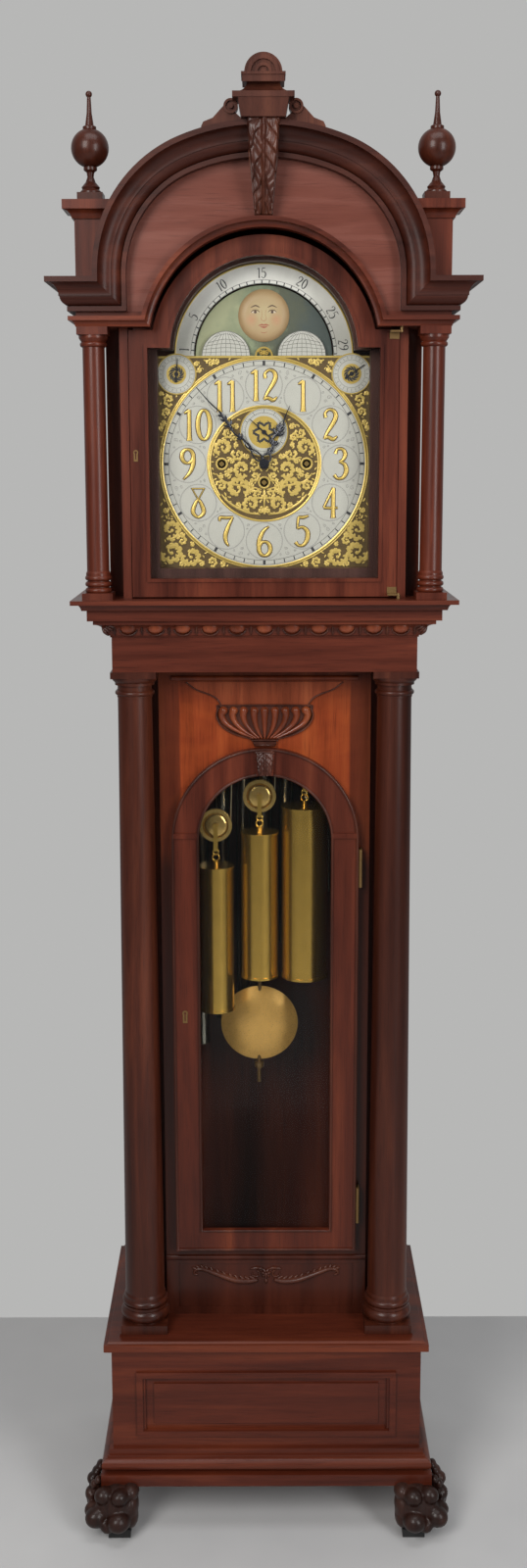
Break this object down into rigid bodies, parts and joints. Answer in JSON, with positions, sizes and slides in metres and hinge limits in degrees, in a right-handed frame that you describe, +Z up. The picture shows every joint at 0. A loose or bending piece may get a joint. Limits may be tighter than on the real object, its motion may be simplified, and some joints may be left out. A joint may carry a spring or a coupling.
{
  "type": "longcase clock",
  "caption": "Mahogany longcase clock with a break-arch brass dial and moon, glazed trunk door, brass weights, tubular bells and claw feet",
  "frame": {"origin": "on the floor under the middle of the case's bounding box, between its front and its flat back", "axes": "+Z up; the dial and doors face -Y; +X to the right as seen from the front; the flat back stands against a wall at +Y"},
  "size_m": [0.613, 0.408, 2.276],
  "materials": {
    "mahogany": "polished dark reddish-brown mahogany",
    "dark_carving": "carved dark mahogany",
    "figured_panel": "figured orange-brown mahogany, polished",
    "dark_wood": "dark stained",
    "foot_pad": "matte",
    "brass": "polished and lacquered",
    "gilt": "gilded",
    "silvered": "matte silvered brass",
    "painted_moon": "painted",
    "blued_steel": "blued",
    "steel": "ground",
    "cable": "stranded",
    "nickel_tube": "nickel plated",
    "glass": "clear"
  },
  "bodies": {
    "case": {"feet": "dark_carving", "foot_pads": "foot_pad", "base_moulding": "mahogany", "plinth_front": "mahogany", "plinth_sides": "mahogany", "plinth_top": "mahogany", "backboard": "mahogany", "trunk_front": "figured_panel", "trunk_carvings": "mahogany", "trunk_sides": "mahogany", "columns": "mahogany", "frieze": "mahogany", "hood_base": "mahogany", "hood_frame": "mahogany", "hood_mask": "dark_wood", "hood_sides": "mahogany", "tympanum": "mahogany", "arch_cornice": "mahogany", "architrave": "mahogany", "hood_roof": "mahogany", "finial_blocks": "mahogany", "finials": "mahogany", "crest": "mahogany", "keystone": "mahogany", "colonettes": "mahogany", "case_hinges": "brass", "dial_plate": "brass", "dial_frets": "gilt", "dial_rings": "silvered", "movement_plates": "brass", "seat_board": "dark_wood", "going_cable": "cable", "strike_cable": "cable", "chime_cable": "cable", "tube_bells": "nickel_tube"},
    "trunk_door": {"trunk_door_frame": "mahogany", "trunk_door_glass": "glass", "trunk_door_fittings": "brass"},
    "hood_door": {"hood_door_frame": "mahogany", "hood_door_glass": "glass", "hood_door_fittings": "brass"},
    "pendulum": {"pendulum_rod": "steel", "pendulum_bob": "brass"},
    "pallets": {"pallet_anchor": "steel"},
    "minute": {"minute_hand": "blued_steel"},
    "hour": {"hour_hand": "blued_steel"},
    "seconds": {"seconds_hand": "blued_steel"},
    "moon": {"moon_disc": "painted_moon"},
    "silence": {"silence_hand": "blued_steel"},
    "melody": {"melody_hand": "blued_steel"},
    "hammers": {"bell_hammers": "steel"},
    "going_drum": {"going_barrel": "brass"},
    "going_drop": {"going_weight": "brass"},
    "going_sheave": {"going_pulley": "brass"},
    "strike_drum": {"strike_barrel": "brass"},
    "strike_drop": {"strike_weight": "brass"},
    "strike_sheave": {"strike_pulley": "brass"},
    "chime_drum": {"chime_barrel": "brass"},
    "chime_drop": {"chime_weight": "brass"},
    "chime_sheave": {"chime_pulley": "brass"}
  },
  "joints": [
    {"name": "trunk_door_hinge", "type": "hinge", "parent": "case", "child": "trunk_door", "pos_m": [0.1496, -0.0685, 0.867], "axis": [0, 0, 1], "range_deg": [0, 100]},
    {"name": "hood_door_hinge", "type": "hinge", "parent": "case", "child": "hood_door", "pos_m": [0.1975, -0.135, 1.724], "axis": [0, 0, 1], "range_deg": [0, 95]},
    {"name": "pendulum_swing", "type": "hinge", "parent": "case", "child": "pendulum", "pos_m": [0, 0.074, 1.808], "axis": [0, 1, 0], "range_deg": [-1.6, 2.7]},
    {"name": "pallet_rock", "type": "hinge", "parent": "case", "child": "pallets", "pos_m": [0, 0.019, 1.808], "axis": [0, 1, 0], "range_deg": [-1.6, 2.7]},
    {"name": "minute_turn", "type": "hinge", "parent": "case", "child": "minute", "pos_m": [0, -0.054, 1.727], "axis": [0, 1, 0], "continuous": true},
    {"name": "hour_turn", "type": "hinge", "parent": "case", "child": "hour", "pos_m": [0, -0.054, 1.727], "axis": [0, 1, 0], "continuous": true},
    {"name": "moon_turn", "type": "hinge", "parent": "case", "child": "moon", "pos_m": [0, -0.054, 1.8835], "axis": [0, 1, 0], "continuous": true},
    {"name": "seconds_turn", "type": "hinge", "parent": "case", "child": "seconds", "pos_m": [0, -0.054, 1.7734], "axis": [0, 1, 0], "continuous": true},
    {"name": "silence_lever", "type": "hinge", "parent": "case", "child": "silence", "pos_m": [-0.1296, -0.054, 1.8575], "axis": [0, 1, 0], "range_deg": [-60, 60]},
    {"name": "melody_lever", "type": "hinge", "parent": "case", "child": "melody", "pos_m": [0.1296, -0.054, 1.8575], "axis": [0, 1, 0], "range_deg": [-115, 5]},
    {"name": "hammer_lift", "type": "hinge", "parent": "case", "child": "hammers", "pos_m": [0, 0.104, 1.768], "axis": [1, 0, 0], "range_deg": [-8, 8], "stiffness_Nm_per_rad": 0.6},
    {"name": "going_fall", "type": "slide", "parent": "case", "child": "going_drop", "axis": [0, 0, 1], "range_m": [-0.4, 0.3], "deforming": ["going_cable"]},
    {"name": "going_drum_turn", "type": "hinge", "parent": "case", "child": "going_drum", "pos_m": [0, 0.01, 1.6995], "axis": [0, 1, 0], "continuous": true},
    {"name": "going_sheave_turn", "type": "hinge", "parent": "going_drop", "child": "going_sheave", "pos_m": [-0.0086, 0.01, 1.205], "axis": [0, 1, 0], "continuous": true},
    {"name": "strike_fall", "type": "slide", "parent": "case", "child": "strike_drop", "axis": [0, 0, 1], "range_m": [-0.4, 0.3], "deforming": ["strike_cable"]},
    {"name": "strike_drum_turn", "type": "hinge", "parent": "case", "child": "strike_drum", "pos_m": [-0.0635, 0.01, 1.727], "axis": [0, 1, 0], "continuous": true},
    {"name": "strike_sheave_turn", "type": "hinge", "parent": "strike_drop", "child": "strike_sheave", "pos_m": [-0.0794, 0.01, 1.157], "axis": [0, 1, 0], "continuous": true},
    {"name": "chime_fall", "type": "slide", "parent": "case", "child": "chime_drop", "axis": [0, 0, 1], "range_m": [-0.4, 0.24], "deforming": ["chime_cable"]},
    {"name": "chime_drum_turn", "type": "hinge", "parent": "case", "child": "chime_drum", "pos_m": [0.0635, 0.01, 1.727], "axis": [0, 1, 0], "continuous": true},
    {"name": "chime_sheave_turn", "type": "hinge", "parent": "chime_drop", "child": "chime_sheave", "pos_m": [0.064, 0.01, 1.255], "axis": [0, 1, 0], "continuous": true}
  ],
  "couplings": [
    {"joint": "pallet_rock", "follows": "pendulum_swing", "ratio": 1},
    {"joint": "hour_turn", "follows": "minute_turn", "ratio": 0.083333},
    {"joint": "moon_turn", "follows": "minute_turn", "ratio": 0.000705},
    {"joint": "going_drum_turn", "follows": "going_fall", "rad_per_m": -95.238},
    {"joint": "going_sheave_turn", "follows": "going_fall", "rad_per_m": -40.816},
    {"joint": "strike_drum_turn", "follows": "strike_fall", "rad_per_m": -95.238},
    {"joint": "strike_sheave_turn", "follows": "strike_fall", "rad_per_m": -40.816},
    {"joint": "chime_drum_turn", "follows": "chime_fall", "rad_per_m": -95.238},
    {"joint": "chime_sheave_turn", "follows": "chime_fall", "rad_per_m": -40.816}
  ]
}
